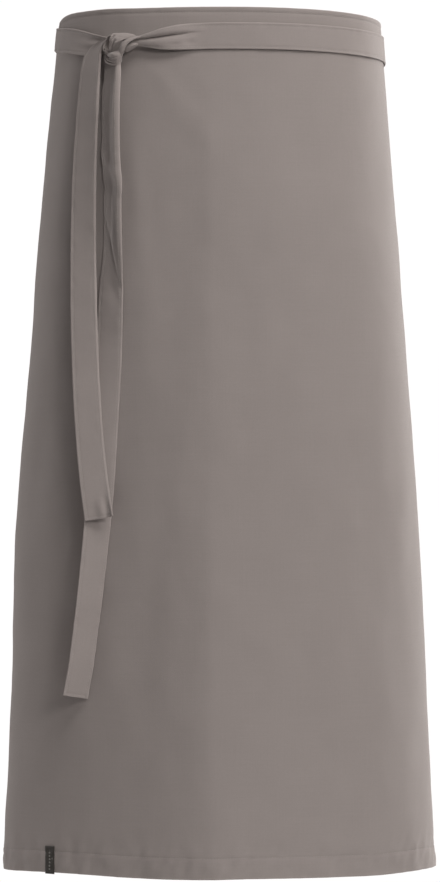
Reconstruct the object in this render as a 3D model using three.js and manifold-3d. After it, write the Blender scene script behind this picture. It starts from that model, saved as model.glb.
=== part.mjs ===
// Long waist apron, shown as it is worn: one wide panel of cloth wrapped round the hips,
// two ties crossed behind, and a knot at the front left with two hanging ends.
// Millimetres, +Z up, front towards -Y. The origin is the middle of the waist opening,
// level with the middle of the tie at the front.
import * as THREE from 'three';
import Module from 'manifold-3d';

// Panel
const apronLength = 900; // top edge to hem, down the front
const cutWidth = 800; // side edge to side edge, round the body
const waistWidth = 345;
const waistDepth = 224;
const hemWidth = 462;
const hemDepth = 262;
const waistRoundness = 2.3; // exponent of the front's curve: 2 is an ellipse, less is more pointed
const hemRoundness = 1.6;
const backRoundness = 2.1;
const clothThickness = 1.2;
const foldedThickness = 2.2; // where the cloth is turned in and stitched
const topHem = 5;
const bottomHem = 22;
const sideHem = 12;
const hemStep = 1.5; // length over which the wall thins from a hem to single cloth

// Ties
const tieWidth = 28;
const tieThickness = 1.6;
const tieDepthBelowTop = 30; // top edge to the middle of the tie at the front
const sewnLength = 32; // overlap of a tie's end on the panel's back corner
const clearance = 0.6;
const shortTailLength = 504;
const longTailLength = 655;

// Knot
const knotFromMiddle = 108; // round the waist from the middle of the front, to the left in a front view
const knotBelowTie = 12;
const underKnotShare = 0.3; // how far the ties reach under the knot, each side of its middle, in tie widths
const shortTailRise = 0.58; // top of the short end above the knot's middle, in tie widths
const longTailDrop = 0.6; // top of the long end below it, in tie widths

// Label
const labelWidth = 12;
const labelHeight = 29;
const labelThickness = 1;
const labelFromMiddle = 190;

// Fineness of the meshes
const panelColumns = 56;
const panelRows = 16;
const tieStep = 13;
const tailSteps = 26;
const ringSamples = 360;
const rollSides = 10;
const rollSteps = 14;
const roundedEnd = 0.15; // least share of a roll's thickness at its ends, before the square root

// How folds and creases rise
const foldGrowth = 1.5; // exponent down the length
const dentCurve = 1.5; // exponent from a tie's middle to its edges
const creasePlace = 0.2; // bottom of a hanging end's crease, as a share of half its width
const creaseMiddle = 0.4; // level of the cloth between the crease's bottom and its edges

// How the panel opens from waist to hem. down is a share of the length, widen and deepen are shares
// of the growth from waist to hem, and lean is a sideways shift as a share of the waist's width.
const flare = [
  { down: 0.00, widen: 0.00, deepen: 0.00, lean: 0.000 },
  { down: 0.17, widen: 0.23, deepen: 0.20, lean: -0.006 },
  { down: 0.38, widen: 0.49, deepen: 0.45, lean: -0.006 },
  { down: 0.59, widen: 0.71, deepen: 0.66, lean: -0.008 },
  { down: 0.79, widen: 0.86, deepen: 0.84, lean: -0.004 },
  { down: 1.00, widen: 1.00, deepen: 1.00, lean: -0.001 },
];

// Soft upright folds. at is a share of half the cut width, spread of the cut width, swell of the
// waist's depth at the hem, and from is the share of the length where the fold starts.
const folds = [
  { at: -0.035, spread: 0.040, swell: 0.009, from: 0.10 },
  { at: 0.215, spread: 0.055, swell: -0.010, from: 0.25 },
  { at: -0.300, spread: 0.060, swell: -0.008, from: 0.30 },
  { at: 0.560, spread: 0.035, swell: 0.009, from: 0.20 },
  { at: -0.600, spread: 0.035, swell: 0.008, from: 0.35 },
  { at: 0.770, spread: 0.020, swell: 0.022, from: 0.92 },
  { at: 0.850, spread: 0.040, swell: -0.036, from: 0.15 },
  { at: -0.850, spread: 0.040, swell: -0.036, from: 0.15 },
  { at: 1.000, spread: 0.030, swell: 0.045, from: 0.15 },
  { at: -1.000, spread: 0.030, swell: 0.045, from: 0.15 },
];

// The tie that starts at the left back corner and runs behind, round the right side and to the knot.
// along is the share of its run, height is its middle in tie widths, and side says which face of the
// panel it lies on: -1 inside, 1 outside. lift is its distance from there in layers of tie and
// clearance, tall a share of the tie's width, and dent a lengthwise fold in tie widths.
const tieRoundRight = [
  { along: 0.000, height: 0.54, side: -1, lift: 0, tall: 1.00, dent: 0.00 },
  { along: 0.060, height: 0.46, side: -1, lift: 0, tall: 1.00, dent: 0.00 },
  { along: 0.130, height: 0.00, side: -0.6, lift: 0, tall: 1.00, dent: 0.00 },
  { along: 0.190, height: -0.50, side: 0.0, lift: 0, tall: 1.00, dent: 0.00 },
  { along: 0.213, height: -0.54, side: 1, lift: 0, tall: 1.00, dent: 0.00 },
  { along: 0.300, height: -0.50, side: 1, lift: 0, tall: 1.00, dent: 0.00 },
  { along: 0.460, height: 0.02, side: 1, lift: 0, tall: 1.00, dent: 0.00 },
  { along: 0.620, height: 0.02, side: 1, lift: 0, tall: 1.00, dent: 0.00 },
  { along: 0.850, height: 0.00, side: 1, lift: 0, tall: 1.00, dent: 0.00 },
  { along: 0.895, height: -0.03, side: 1, lift: 0.1, tall: 0.98, dent: 0.08 },
  { along: 0.930, height: -0.08, side: 1, lift: 0.4, tall: 0.80, dent: 0.14 },
  { along: 0.965, height: -0.11, side: 1, lift: 0.7, tall: 0.44, dent: 0.10 },
  { along: 1.000, height: -0.11, side: 1, lift: 0.7, tall: 0.24, dent: 0.04 },
];

// The tie that starts at the right back corner and runs behind, round the left side and to the knot.
const tieRoundLeft = [
  { along: 0.00, height: 0.56, side: 1, lift: 0, tall: 1.00, dent: 0.00 },
  { along: 0.34, height: 0.56, side: 1, lift: 0, tall: 1.00, dent: 0.00 },
  { along: 0.66, height: 0.59, side: 1, lift: 0, tall: 1.00, dent: 0.00 },
  { along: 0.78, height: 0.52, side: 1, lift: 0, tall: 0.98, dent: 0.00 },
  { along: 0.88, height: 0.06, side: 1, lift: 0, tall: 0.96, dent: 0.00 },
  { along: 0.95, height: -0.24, side: 1, lift: 0, tall: 0.80, dent: 0.03 },
  { along: 1.00, height: -0.34, side: 1, lift: 0, tall: 0.45, dent: 0.03 },
];

// The two hanging ends. fall is a share of the end's length, aside is its middle's distance from the
// knot in tie widths, turn is how far its right edge comes forward in degrees, lift is its distance
// from the panel in layers, wide is a share of the tie's width and crease a lengthwise fold.
const shortTailRows = [
  { fall: 0.00, aside: -0.86, turn: 34, lift: 2.6, wide: 0.40, crease: 0.00 },
  { fall: 0.03, aside: -0.98, turn: 38, lift: 2.1, wide: 0.86, crease: 0.00 },
  { fall: 0.07, aside: -1.04, turn: 38, lift: 1.6, wide: 1.00, crease: 0.00 },
  { fall: 0.11, aside: -1.10, turn: 36, lift: 0.9, wide: 1.00, crease: 0.00 },
  { fall: 0.33, aside: -1.28, turn: 25, lift: 0.6, wide: 1.00, crease: 0.00 },
  { fall: 0.56, aside: -1.26, turn: 14, lift: 2.5, wide: 1.00, crease: 0.00 },
  { fall: 0.75, aside: -1.12, turn: 4, lift: 2.9, wide: 1.00, crease: 0.00 },
  { fall: 0.89, aside: -0.92, turn: 0, lift: 2.6, wide: 1.02, crease: 0.00 },
  { fall: 1.00, aside: -0.66, turn: 0, lift: 2.2, wide: 1.06, crease: 0.00 },
];
const longTailRows = [
  { fall: 0.00, aside: -0.13, turn: 30, lift: 3.0, wide: 0.40, crease: 0.22 },
  { fall: 0.05, aside: -0.16, turn: 46, lift: 1.0, wide: 0.70, crease: 0.20 },
  { fall: 0.13, aside: -0.19, turn: 54, lift: 0.0, wide: 0.92, crease: 0.12 },
  { fall: 0.21, aside: -0.22, turn: 45, lift: 0.0, wide: 1.00, crease: 0.05 },
  { fall: 0.35, aside: -0.27, turn: 30, lift: 0.0, wide: 1.00, crease: 0.00 },
  { fall: 0.54, aside: -0.46, turn: 10, lift: 0.0, wide: 1.00, crease: 0.00 },
  { fall: 0.72, aside: -0.77, turn: 0, lift: 0.0, wide: 1.00, crease: 0.00 },
  { fall: 0.88, aside: -1.17, turn: 0, lift: 0.0, wide: 1.00, crease: 0.00 },
  { fall: 1.00, aside: -1.59, turn: 0, lift: 0.0, wide: 1.00, crease: 0.00 },
];

// The knot's rolls of gathered cloth, in tie widths from its middle: right, up and out along the
// panel's face, and the roll's half thickness there.
const knotRolls = [
  [
    { right: 0.76, up: 0.30, out: 0.20, half: 0.10 },
    { right: 0.44, up: 0.42, out: 0.30, half: 0.18 },
    { right: 0.04, up: 0.40, out: 0.36, half: 0.21 },
    { right: -0.26, up: 0.22, out: 0.28, half: 0.14 },
    { right: -0.33, up: -0.10, out: 0.22, half: 0.13 },
    { right: -0.20, up: -0.38, out: 0.22, half: 0.15 },
    { right: 0.10, up: -0.46, out: 0.24, half: 0.15 },
  ],
  [
    { right: 0.36, up: 0.24, out: 0.28, half: 0.18 },
    { right: 0.20, up: -0.02, out: 0.34, half: 0.22 },
    { right: 0.10, up: -0.30, out: 0.30, half: 0.19 },
    { right: 0.06, up: -0.52, out: 0.22, half: 0.13 },
  ],
  [
    { right: 0.02, up: 0.46, out: 0.28, half: 0.15 },
    { right: -0.26, up: 0.44, out: 0.22, half: 0.11 },
    { right: -0.46, up: 0.30, out: 0.18, half: 0.08 },
  ],
  [
    { right: -0.04, up: 0.24, out: 0.22, half: 0.14 },
    { right: -0.10, up: 0.00, out: 0.19, half: 0.13 },
    { right: -0.04, up: -0.26, out: 0.20, half: 0.14 },
  ],
];

const topZ = tieDepthBelowTop;
const halfCut = cutWidth / 2;
const knotArc = -knotFromMiddle;
const labelArc = -labelFromMiddle;
const layer = tieThickness + clearance;
const radians = THREE.MathUtils.degToRad;
const { clamp, lerp } = THREE.MathUtils;

// Value of one column of a table at a place between its rows, on a smooth curve through them.
function read(table, key, column, at) {
  const last = table.length - 1;
  let row = 0;
  while (row < last - 1 && at > table[row + 1][key]) row += 1;
  const slope = (index) => {
    const before = table[Math.max(index - 1, 0)];
    const after = table[Math.min(index + 1, last)];
    return (after[column] - before[column]) / (after[key] - before[key]);
  };
  const low = table[row];
  const high = table[row + 1];
  const span = high[key] - low[key];
  const u = clamp((at - low[key]) / span, 0, 1);
  const stepUp = u * u * (3 - 2 * u);
  const leave = u * (1 - u) * (1 - u) * span * slope(row);
  const arrive = u * u * (u - 1) * span * slope(row + 1);
  return lerp(low[column], high[column], stepUp) + leave + arrive;
}

const downAt = (z) => clamp((topZ - z) / apronLength, 0, 1);

// Half sizes and curve of the body's outline at a share of the length.
function outlineAt(down) {
  const widen = read(flare, 'down', 'widen', down);
  const deepen = read(flare, 'down', 'deepen', down);
  return {
    halfWidth: lerp(waistWidth, hemWidth, widen) / 2,
    halfDepth: lerp(waistDepth, hemDepth, deepen) / 2,
    front: lerp(waistRoundness, hemRoundness, down),
    shift: waistWidth * read(flare, 'down', 'lean', down),
  };
}

const signedPower = (value, power) => Math.sign(value) * Math.abs(value) ** power;

// Point and outward direction on the outline. angle is 0 at the front and grows to the right.
function outlinePoint(outline, angle) {
  const roundness = Math.cos(angle) > 0 ? outline.front : backRoundness;
  const across = signedPower(Math.sin(angle), 2 / roundness);
  const ahead = -signedPower(Math.cos(angle), 2 / roundness);
  const normal = new THREE.Vector2(
    signedPower(across, roundness - 1) / outline.halfWidth,
    signedPower(ahead, roundness - 1) / outline.halfDepth,
  ).normalize();
  const x = across * outline.halfWidth + outline.shift;
  return { x, y: ahead * outline.halfDepth, normal };
}

// Angles and distances round the outline at one height, measured once and kept.
const rings = new Map();
function ringAt(down) {
  const key = down.toFixed(5);
  if (!rings.has(key)) {
    const outline = outlineAt(down);
    const arcs = [0];
    let before = outlinePoint(outline, -Math.PI);
    for (let i = 1; i <= ringSamples; i += 1) {
      const here = outlinePoint(outline, -Math.PI + (i / ringSamples) * 2 * Math.PI);
      arcs.push(arcs[i - 1] + Math.hypot(here.x - before.x, here.y - before.y));
      before = here;
    }
    rings.set(key, { outline, arcs, around: arcs[ringSamples], front: arcs[ringSamples / 2] });
  }
  return rings.get(key);
}

// Angle on the outline at a distance round it from the front's middle.
function angleAt(ring, distance) {
  const turns = Math.floor((distance + ring.front) / ring.around);
  const arc = distance + ring.front - turns * ring.around;
  let i = 1;
  while (i < ringSamples && ring.arcs[i] < arc) i += 1;
  const part = (arc - ring.arcs[i - 1]) / (ring.arcs[i] - ring.arcs[i - 1]);
  return -Math.PI + ((i - 1 + part) / ringSamples) * 2 * Math.PI + turns * 2 * Math.PI;
}

// How far the folds push the panel out at a distance round it and a share of its length.
function foldOut(distance, down) {
  return folds.reduce((sum, fold) => {
    const away = (distance - fold.at * halfCut) / (fold.spread * cutWidth);
    const grown = clamp((down - fold.from) / (1 - fold.from), 0, 1) ** foldGrowth;
    return sum + waistDepth * fold.swell * grown * Math.exp(-0.5 * away * away);
  }, 0);
}

// A point on the panel's outer face, or offset from it.
function panelPoint(distance, down, out) {
  const ring = ringAt(down);
  const spot = outlinePoint(ring.outline, angleAt(ring, distance));
  const reach = out + foldOut(distance, down);
  return new THREE.Vector3(
    spot.x + spot.normal.x * reach,
    spot.y + spot.normal.y * reach,
    topZ - down * apronLength,
  );
}

// The panel's front face as a run of points at one height, and its depth at a place across it.
const fronts = new Map();
function panelDepth(x, z) {
  const down = downAt(z);
  const key = down.toFixed(5);
  if (!fronts.has(key)) {
    const count = panelColumns * 2;
    const run = [];
    for (let i = 0; i <= count; i += 1) {
      run.push(panelPoint(lerp(-halfCut, halfCut, i / count), down, 0));
    }
    fronts.set(key, run.filter((point) => point.y < 0));
  }
  const run = fronts.get(key);
  const i = clamp(run.findIndex((point) => point.x > x), 1, run.length - 1);
  const part = (x - run[i - 1].x) / (run[i].x - run[i - 1].x);
  return lerp(run[i - 1].y, run[i].y, clamp(part, 0, 1));
}

const cloth = (color) => new THREE.MeshStandardMaterial({ color, roughness: 0.9, metalness: 0 });
const panelColour = 0x857d79;
const tieColour = 0x8a827e;
const labelColour = 0x35312d;

// A thin solid from sections in order. Each section has as many points on its face as on its back.
function sheetMesh(name, sections, material) {
  const across = sections[0].face.length;
  const positions = [];
  sections.forEach((section) => {
    [...section.face, ...section.back].forEach((point) => positions.push(point.x, point.y, point.z));
  });
  const at = (section, side, i) => section * across * 2 + side * across + i;
  const indices = [];
  const quad = (a, b, c, d) => indices.push(a, b, c, a, c, d);
  const last = sections.length - 1;
  for (let s = 0; s < last; s += 1) {
    for (let i = 0; i < across - 1; i += 1) {
      quad(at(s, 0, i), at(s, 0, i + 1), at(s + 1, 0, i + 1), at(s + 1, 0, i));
      quad(at(s, 1, i), at(s + 1, 1, i), at(s + 1, 1, i + 1), at(s, 1, i + 1));
    }
    quad(at(s, 0, 0), at(s + 1, 0, 0), at(s + 1, 1, 0), at(s, 1, 0));
    quad(at(s, 0, across - 1), at(s, 1, across - 1), at(s + 1, 1, across - 1), at(s + 1, 0, across - 1));
  }
  for (let i = 0; i < across - 1; i += 1) {
    quad(at(0, 0, i), at(0, 1, i), at(0, 1, i + 1), at(0, 0, i + 1));
    quad(at(last, 0, i), at(last, 0, i + 1), at(last, 1, i + 1), at(last, 1, i));
  }
  const geometry = new THREE.BufferGeometry();
  geometry.setAttribute('position', new THREE.Float32BufferAttribute(positions, 3));
  geometry.setIndex(indices);
  const mesh = new THREE.Mesh(geometry, material);
  mesh.name = name;
  return mesh;
}

// Even places from low to high with both ends.
const spaced = (low, high, count) => Array.from({ length: count + 1 }, (_, i) => lerp(low, high, i / count));

// The apron's panel: single cloth, with a turned and stitched hem on all four sides.
function makePanel() {
  const topRows = [0, topHem, topHem + hemStep].map((drop) => drop / apronLength);
  const bottomRows = [bottomHem + hemStep, bottomHem, 0].map((rise) => 1 - rise / apronLength);
  const middle = spaced(topRows[2], bottomRows[0], panelRows).slice(1, -1);
  const rows = [...topRows, ...middle, ...bottomRows];
  const edges = [0, sideHem, sideHem + hemStep];
  const inner = halfCut - sideHem - hemStep;
  const between = spaced(-inner, inner, panelColumns).slice(1, -1);
  const columns = [...edges.map((e) => e - halfCut), ...between, ...edges.reverse().map((e) => halfCut - e)];
  const wall = (distance, down) => {
    const fromEdge = halfCut - Math.abs(distance);
    const fromTop = down * apronLength;
    const fromBottom = apronLength - fromTop;
    const pastHem = Math.min(fromEdge - sideHem, fromTop - topHem, fromBottom - bottomHem);
    return pastHem < hemStep / 2 ? foldedThickness : clothThickness;
  };
  const sections = columns.map((distance) => ({
    face: rows.map((down) => panelPoint(distance, down, 0)),
    back: rows.map((down) => panelPoint(distance, down, -wall(distance, down))),
  }));
  return sheetMesh('apron_panel', sections, cloth(panelColour));
}

const acrossTie = [-1, -0.5, 0, 0.5, 1];

// A tie laid round the body from one place on the waist to another.
function makeTie(name, table, start, end) {
  const waist = ringAt(downAt(0));
  const steps = Math.round(Math.abs(end - start) / tieStep);
  const toRight = end > start;
  const sections = spaced(0, 1, steps).map((along) => {
    const angle = angleAt(waist, lerp(start, end, along));
    const value = (column) => read(table, 'along', column, along);
    const middle = tieWidth * value('height');
    const half = (tieWidth / 2) * value('tall');
    const dent = tieWidth * value('dent');
    const inside = -foldedThickness - layer;
    const out = lerp(inside, clearance, (value('side') + 1) / 2) + layer * value('lift');
    const point = (share, more) => {
      const z = middle + share * half;
      const spot = outlinePoint(ringAt(downAt(z)).outline, angle);
      const bulge = dent * Math.abs(share) ** dentCurve;
      const reach = out + bulge + more;
      return new THREE.Vector3(spot.x + spot.normal.x * reach, spot.y + spot.normal.y * reach, z);
    };
    const order = toRight ? [...acrossTie].reverse() : acrossTie;
    return {
      face: order.map((share) => point(share, tieThickness)),
      back: order.map((share) => point(share, 0)),
    };
  });
  return sheetMesh(name, sections, cloth(tieColour));
}

const acrossTail = [-1, -0.4, creasePlace, 0.6, 1];

// A free end of a tie hanging from the knot in front of the panel.
function makeTail(name, table, length, knotX, topOfTail) {
  const sections = spaced(0, 1, tailSteps).map((fall) => {
    const value = (column) => read(table, 'fall', column, fall);
    const turn = radians(value('turn'));
    const half = (tieWidth / 2) * value('wide');
    const z = topOfTail - fall * length;
    const x = knotX + tieWidth * value('aside');
    const crease = tieWidth * value('crease');
    const local = acrossTail.map((share) => ({
      along: share * half,
      ahead: crease * (Math.abs(share - creasePlace) - creaseMiddle),
    }));
    const flat = local.map(({ along, ahead }) => ({
      x: x + along * Math.cos(turn) - ahead * Math.sin(turn),
      y: -along * Math.sin(turn) - ahead * Math.cos(turn),
    }));
    const nearest = Math.min(...flat.map((point) => panelDepth(point.x, z) - point.y));
    const y = nearest - clearance - layer * value('lift');
    const thick = { x: -Math.sin(turn) * tieThickness, y: -Math.cos(turn) * tieThickness };
    return {
      face: flat.map((point) => new THREE.Vector3(point.x + thick.x, y + point.y + thick.y, z)).reverse(),
      back: flat.map((point) => new THREE.Vector3(point.x, y + point.y, z)).reverse(),
    };
  });
  return sheetMesh(name, sections, cloth(tieColour));
}

// One roll of the knot: a closed tube with rounded ends along a smooth curve.
function rollGeometry(rows, place) {
  const spots = rows.map((row) => place(row));
  const curve = new THREE.CatmullRomCurve3(spots, false, 'centripetal');
  const { normals, binormals } = curve.computeFrenetFrames(rollSteps, false);
  const positions = [];
  const indices = [];
  for (let i = 0; i <= rollSteps; i += 1) {
    const u = i / rollSteps;
    const along = u * (rows.length - 1);
    const low = Math.min(Math.floor(along), rows.length - 2);
    const half = tieWidth * lerp(rows[low].half, rows[low + 1].half, along - low);
    const taper = Math.sqrt(clamp(Math.min(u, 1 - u) * rollSteps, roundedEnd, 1));
    const centre = curve.getPoint(u);
    for (let k = 0; k < rollSides; k += 1) {
      const angle = (k / rollSides) * 2 * Math.PI;
      const point = centre.clone()
        .addScaledVector(normals[i], Math.cos(angle) * half * taper)
        .addScaledVector(binormals[i], Math.sin(angle) * half * taper);
      positions.push(point.x, point.y, point.z);
    }
  }
  for (let i = 0; i < rollSteps; i += 1) {
    for (let k = 0; k < rollSides; k += 1) {
      const a = i * rollSides + k;
      const b = i * rollSides + ((k + 1) % rollSides);
      indices.push(a, b, b + rollSides, a, b + rollSides, a + rollSides);
    }
  }
  for (let k = 1; k < rollSides - 1; k += 1) {
    const end = rollSteps * rollSides;
    indices.push(0, k + 1, k, end, end + k, end + k + 1);
  }
  return { positions, indices };
}

// The knot: rolls of gathered cloth joined into one body, standing on the two ties that end under it.
async function makeKnot(centre, right, out) {
  const wasm = await Module();
  wasm.setup();
  const up = new THREE.Vector3(0, 0, 1);
  const place = (row) => centre.clone()
    .addScaledVector(right, row.right * tieWidth)
    .addScaledVector(up, row.up * tieWidth)
    .addScaledVector(out, row.out * tieWidth + layer);
  const joined = knotRolls
    .map((rows) => rollGeometry(rows, place))
    .map(({ positions, indices }) => new wasm.Manifold(new wasm.Mesh({
      numProp: 3,
      vertProperties: new Float32Array(positions),
      triVerts: new Uint32Array(indices),
    })))
    .reduce((body, roll) => body.add(roll));
  const result = joined.getMesh();
  const geometry = new THREE.BufferGeometry();
  geometry.setAttribute('position', new THREE.Float32BufferAttribute(result.vertProperties, 3));
  geometry.setIndex([...result.triVerts]);
  const mesh = new THREE.Mesh(geometry, cloth(tieColour));
  mesh.name = 'knot';
  return mesh;
}

// The small woven tab sewn to the hem at the front left.
function makeLabel() {
  const rows = spaced(1 - labelHeight / apronLength, 1, 3);
  const sections = spaced(labelArc - labelWidth / 2, labelArc + labelWidth / 2, 2).map((distance) => ({
    face: rows.map((down) => panelPoint(distance, down, clearance + labelThickness)),
    back: rows.map((down) => panelPoint(distance, down, clearance)),
  }));
  return sheetMesh('hem_label', sections, cloth(labelColour));
}

const waistRing = ringAt(downAt(0));
const aroundWaist = waistRing.around;
const underKnot = underKnotShare * tieWidth;
const knotSpot = outlinePoint(waistRing.outline, angleAt(waistRing, knotArc));
const knotOut = new THREE.Vector3(knotSpot.normal.x, knotSpot.normal.y, 0);
const knotRight = new THREE.Vector3(-knotSpot.normal.y, knotSpot.normal.x, 0);
const knotCentre = new THREE.Vector3(knotSpot.x, knotSpot.y, -knotBelowTie);

const apron = new THREE.Group();
apron.add(makePanel());
apron.add(makeTie('tie_round_right', tieRoundRight, aroundWaist - halfCut + sewnLength, knotArc + underKnot));
apron.add(makeTie('tie_round_left', tieRoundLeft, halfCut - sewnLength - aroundWaist, knotArc - underKnot));
apron.add(await makeKnot(knotCentre, knotRight, knotOut));
const shortTailTop = -knotBelowTie + shortTailRise * tieWidth;
const longTailTop = -knotBelowTie - longTailDrop * tieWidth;
apron.add(makeTail('short_tail', shortTailRows, shortTailLength, knotSpot.x, shortTailTop));
apron.add(makeTail('long_tail', longTailRows, longTailLength, knotSpot.x, longTailTop));
apron.add(makeLabel());

export default apron;
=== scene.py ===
"""Looks of the long waist apron: its cloth, hems, stitching, ties, knot and label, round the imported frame.

Lengths are in metres. The front faces -Y, and z = 0 is the middle of the tie at the front.
"""

import math

import bpy
import numpy as np
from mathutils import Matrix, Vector


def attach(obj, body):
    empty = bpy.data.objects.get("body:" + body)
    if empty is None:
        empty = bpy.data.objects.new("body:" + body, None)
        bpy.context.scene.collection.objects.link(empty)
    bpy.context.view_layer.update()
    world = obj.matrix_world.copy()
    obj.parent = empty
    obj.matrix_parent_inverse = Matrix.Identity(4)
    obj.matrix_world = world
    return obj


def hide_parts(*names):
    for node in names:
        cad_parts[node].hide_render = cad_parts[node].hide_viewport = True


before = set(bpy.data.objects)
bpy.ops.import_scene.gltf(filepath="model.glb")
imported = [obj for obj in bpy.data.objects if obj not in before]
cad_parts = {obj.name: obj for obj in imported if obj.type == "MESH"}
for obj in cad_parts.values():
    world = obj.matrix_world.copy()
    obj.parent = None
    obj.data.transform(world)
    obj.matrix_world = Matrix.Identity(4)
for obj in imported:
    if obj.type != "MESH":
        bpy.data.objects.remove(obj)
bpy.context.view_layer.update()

# Sizes of the apron, as in its construction
MM = 0.001
APRON_LENGTH = 900 * MM
CUT_WIDTH = 800 * MM
WAIST_WIDTH = 345 * MM
WAIST_DEPTH = 224 * MM
HEM_WIDTH = 462 * MM
HEM_DEPTH = 262 * MM
WAIST_ROUNDNESS = 2.3
HEM_ROUNDNESS = 1.6
BACK_ROUNDNESS = 2.1
TOP_HEM = 5 * MM
BOTTOM_HEM = 22 * MM
SIDE_HEM = 12 * MM
TIE_WIDTH = 28 * MM
TIE_THICKNESS = 1.6 * MM
TOP_Z = 30 * MM
SEWN_LENGTH = 32 * MM
CLEARANCE = 0.6 * MM
SHORT_TAIL = 504 * MM
LONG_TAIL = 655 * MM
KNOT_ARC = -108 * MM
KNOT_DROP = 12 * MM
FOLDED_WALL = 2.2 * MM
LABEL_WIDTH = 12 * MM
LABEL_HEIGHT = 29 * MM
LABEL_ARC = -190 * MM
HALF_CUT = CUT_WIDTH / 2
LAYER = TIE_THICKNESS + CLEARANCE
WAIST_SHARE = TOP_Z / APRON_LENGTH

# Sizes of the finish
CLOTH = 0.8 * MM
HEM_CLOTH = 1.5 * MM
EDGE_ROUND = 0.8 * MM
HEM_STEP = 0.8 * MM
HEM_RISE = 0.30 * MM
HEM_GROOVE = 0.34 * MM
BOTTOM_PUCKER = 0.55 * MM
TOP_PUCKER = 0.14 * MM
SIDE_PUCKER = 0.34 * MM
STRAP_STEP = 2.6 * MM
STRAP_SLACK = 0.22 * MM
STRAP_GROOVE = 0.6 * MM
MAX_LEAN = 0.16
TAIL_TIP = 5 * MM
TAIL_TIP_ROWS = (3.8, 3.2, 2.6, 1.7, 0.8, 0.4, 0)
STITCH_INSET = 3.0 * MM
STITCH_PITCH = 3.0 * MM
STITCH_LENGTH = 2.3 * MM
STITCH_RADIUS = 0.16 * MM
STITCH_FLATNESS = 1.25
STITCH_RISE = 0.02 * MM
STITCH_SIDES = 5
THREAD_PITCH = 0.5 * MM
SLUB_SCALE = 18
CLOTH_SHEEN = 0.22
PLY_PITCH = 0.5 * MM
LABEL_LIFT = 1.15 * MM
LABEL_HALF = 0.3 * MM
LABEL_PITCH = 0.28 * MM
DIAMOND_REPEAT = 3.4 * MM
DIAMOND_REACH = 1.15 * MM
HEART_REACH = 0.45 * MM
DIAMOND_COLUMN = 20.6 * MM

# Where the straps meet the knot, and its own sizes
UNDER_KNOT = 0.3 * TIE_WIDTH
SHORT_TOP = 0.58 * TIE_WIDTH - KNOT_DROP
LONG_TOP = -0.6 * TIE_WIDTH - KNOT_DROP
LONG_TUCK = 9 * MM
FOLD_HALF = 0.6 * MM
FOLD_ROWS = 64
FOLD_COLUMNS = 41
ROLL_ROWS = 48
ROLL_SIDES = 40

# Seeds of the random relief
PANEL_SEED = 11
RIGHT_TIE_SEED = 21
LEFT_TIE_SEED = 31
SHORT_END_SEED = 41
LONG_END_SEED = 51
KNOT_SEED = 61
LABEL_SEED = 71

# Colours
PANEL_COLOUR = (0.266, 0.231, 0.218)
TIE_COLOUR = (0.272, 0.236, 0.223)
THREAD_COLOUR = (0.285, 0.255, 0.237)
LABEL_COLOUR = (0.019, 0.0135, 0.0095)
DIAMOND_COLOUR = (0.22, 0.21, 0.19)
FLOOR_COLOUR = (0.86, 0.86, 0.86)

# The camera, from how the photograph shows the apron
PHOTO_HEIGHT = 882
PIXEL = 1.072 * MM
AIM_ROW = 508.4
CAMERA_DISTANCE = 3.0
CAMERA_Z = -488.6 * MM
SENSOR = 36.0

# The studio. Each lamp has its place, size, power and colour.
FLOOR_Z = -1.27
FLOOR_RADIUS = 1.5
LIT_PLACE = (0, 0, -0.42)
LAMPS = (
    ("key_high", (1.9, -1.6, 1.9), (0.8, 0.8), 41.0, (1.0, 0.985, 0.968)),
    ("key_front", (1.5, -2.7, 0.9), (0.8, 0.8), 38.2, (1.0, 0.985, 0.968)),
    ("rim_right", (1.9, 1.25, 0.2), (0.7, 1.9), 50, (1.0, 0.99, 0.98)),
    ("rim_left", (-2.3, 1.2, 0.1), (0.6, 1.8), 34, (1.0, 0.972, 0.965)),
    ("top", (0.6, -1.4, 2.2), (1.0, 1.0), 35, (1.0, 0.99, 0.98)),
    ("fill", (-2.8, -1.5, 0.2), (1.6, 1.8), 4.4, (1.0, 0.966, 0.958)),
)
SURROUNDINGS = (1.0, 0.985, 0.98, 1)
SURROUNDINGS_LIGHT = 0.085
SURROUNDINGS_SEEN = 1.03


def rows(names, *lines):
    """A table as one array for each named column."""
    return dict(zip(names.split(), np.array(lines, float).T))


# How the body grows from waist to hem, as shares of the hem's extra width and depth, and how it leans
FLARE = rows(
    "down widen deepen lean",
    (0.00, 0.00, 0.00, 0.000),
    (0.17, 0.23, 0.20, -0.006),
    (0.38, 0.49, 0.45, -0.006),
    (0.59, 0.71, 0.66, -0.008),
    (0.79, 0.86, 0.84, -0.004),
    (1.00, 1.00, 1.00, -0.001),
)

# Soft folds of the panel: place, spread and swell as shares of its half width, width and the waist's depth
FOLDS = (
    dict(at=-0.035, spread=0.040, swell=0.009, start=0.10),
    dict(at=0.215, spread=0.055, swell=-0.010, start=0.25),
    dict(at=-0.300, spread=0.060, swell=-0.008, start=0.30),
    dict(at=0.560, spread=0.035, swell=0.009, start=0.20),
    dict(at=-0.600, spread=0.035, swell=0.008, start=0.35),
    dict(at=0.770, spread=0.020, swell=0.022, start=0.92),
    dict(at=0.850, spread=0.040, swell=-0.036, start=0.15),
    dict(at=-0.850, spread=0.040, swell=-0.036, start=0.15),
    dict(at=1.000, spread=0.030, swell=0.045, start=0.15),
    dict(at=-1.000, spread=0.030, swell=0.045, start=0.15),
)

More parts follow.
